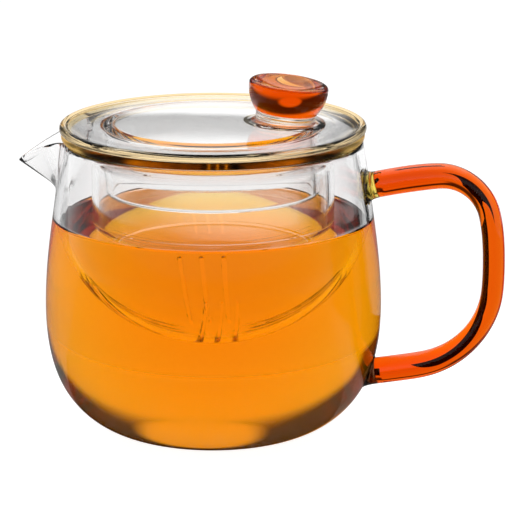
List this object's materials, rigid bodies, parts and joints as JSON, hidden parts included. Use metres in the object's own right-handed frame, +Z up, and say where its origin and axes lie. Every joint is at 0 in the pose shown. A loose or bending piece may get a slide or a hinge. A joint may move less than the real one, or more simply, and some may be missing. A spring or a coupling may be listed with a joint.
{
  "type": "glass teapot with infuser",
  "caption": "Blown glass teapot with a pulled pouring lip, an amber glass rod handle, a lift-out slotted glass infuser cup and a domed glass lid with an amber knob.",
  "frame": {"origin": "centre of the flat underside, on the pot's axis, where the pot rests", "axes": "+Z up along the pot's axis, +X towards the handle, -X towards the pouring lip"},
  "size_m": [0.1538, 0.1052, 0.1136],
  "materials": {
    "pot_glass": "clear flame-polished borosilicate glass",
    "infuser_glass": "clear flame-polished borosilicate glass with sawn slits",
    "lid_glass": "clear flame-polished borosilicate glass",
    "amber_glass": "amber flame-polished glass, coloured all through"
  },
  "bodies": {
    "pot": {"pot_body": "pot_glass", "handle_upper_weld": "pot_glass", "handle_lower_weld": "pot_glass", "handle": "amber_glass"},
    "infuser": {"infuser_cup": "infuser_glass"},
    "lid": {"lid_disc": "lid_glass", "lid_skirt": "lid_glass", "knob_stem": "lid_glass", "lid_knob": "amber_glass"}
  },
  "joints": [
    {"name": "infuser_lift", "type": "slide", "parent": "pot", "child": "infuser", "axis": [0, 0, 1], "range_m": [0, 0.09]},
    {"name": "lid_lift", "type": "slide", "parent": "infuser", "child": "lid", "axis": [0, 0, 1], "range_m": [0, 0.06]}
  ]
}
